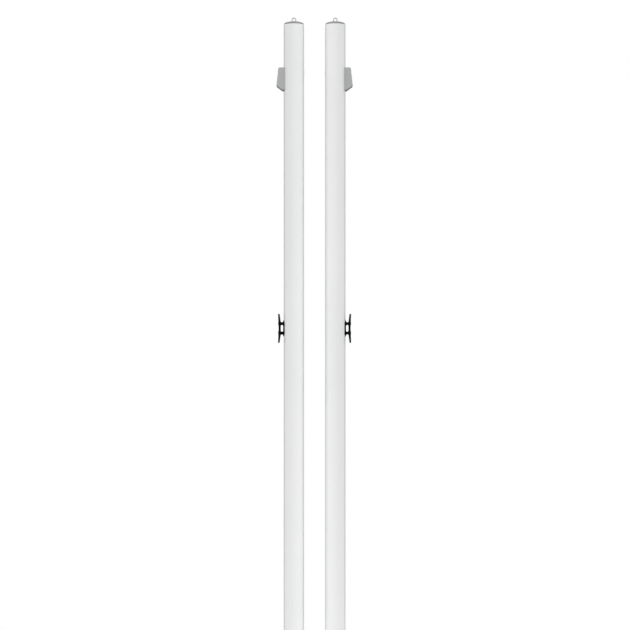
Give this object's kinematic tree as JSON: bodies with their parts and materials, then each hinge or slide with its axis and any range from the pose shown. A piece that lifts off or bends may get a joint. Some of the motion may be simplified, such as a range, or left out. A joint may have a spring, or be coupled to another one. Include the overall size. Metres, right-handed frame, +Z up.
{
  "type": "badminton net post pair",
  "caption": "Round white sleeve-type badminton net posts with a domed cap and eye bolt, a hooded cord pulley near the top and a horn cleat lower down.",
  "frame": {"origin": "On the ground midway between the two feet, under the middle of the whole pair", "axes": "+X along the net line, towards the right-hand post. +Y away from the viewer of the picture. +Z up along the posts."},
  "size_m": [0.1876, 0.05, 1.8362],
  "materials": {
    "tube_white": "satin white powder coat with a faint orange peel",
    "cap_grey": "satin grey moulding with fine grain",
    "hood_grey": "mid grey moulding with fine grain",
    "cleat_black": "black moulded nylon with a soft sheen",
    "nylon_white": "natural white moulded nylon",
    "plated_steel": "bright zinc plating"
  },
  "bodies": {
    "posts": {"left_tube": "tube_white", "left_top_cap": "cap_grey", "left_eye_bolt": "plated_steel", "left_eye_washer": "plated_steel", "left_eye_nut": "plated_steel", "left_pulley_hood": "hood_grey", "left_pulley_axle": "plated_steel", "left_axle_clip": "plated_steel", "left_hood_screw_upper": "plated_steel", "left_hood_screw_lower": "plated_steel", "left_hood_nut_upper": "plated_steel", "left_hood_nut_lower": "plated_steel", "left_cord_inlet": "nylon_white", "left_cleat": "cleat_black", "left_cleat_screw_upper": "plated_steel", "left_cleat_screw_lower": "plated_steel", "left_cleat_nut_upper": "plated_steel", "left_cleat_nut_lower": "plated_steel", "left_foot_plug": "cleat_black", "right_tube": "tube_white", "right_top_cap": "cap_grey", "right_eye_bolt": "plated_steel", "right_eye_washer": "plated_steel", "right_eye_nut": "plated_steel", "right_pulley_hood": "hood_grey", "right_pulley_axle": "plated_steel", "right_axle_clip": "plated_steel", "right_hood_screw_upper": "plated_steel", "right_hood_screw_lower": "plated_steel", "right_hood_nut_upper": "plated_steel", "right_hood_nut_lower": "plated_steel", "right_cord_inlet": "nylon_white", "right_cleat": "cleat_black", "right_cleat_screw_upper": "plated_steel", "right_cleat_screw_lower": "plated_steel", "right_cleat_nut_upper": "plated_steel", "right_cleat_nut_lower": "plated_steel", "right_foot_plug": "cleat_black"},
    "left_sheave": {"left_pulley_sheave": "nylon_white"},
    "right_sheave": {"right_pulley_sheave": "nylon_white"}
  },
  "joints": [
    {"name": "left_sheave_spin", "type": "hinge", "parent": "posts", "child": "left_sheave", "pos_m": [-0.0705, 0, 1.68425], "axis": [0, 1, 0], "continuous": true},
    {"name": "right_sheave_spin", "type": "hinge", "parent": "posts", "child": "right_sheave", "pos_m": [0.0705, 0, 1.68425], "axis": [0, 1, 0], "continuous": true}
  ]
}
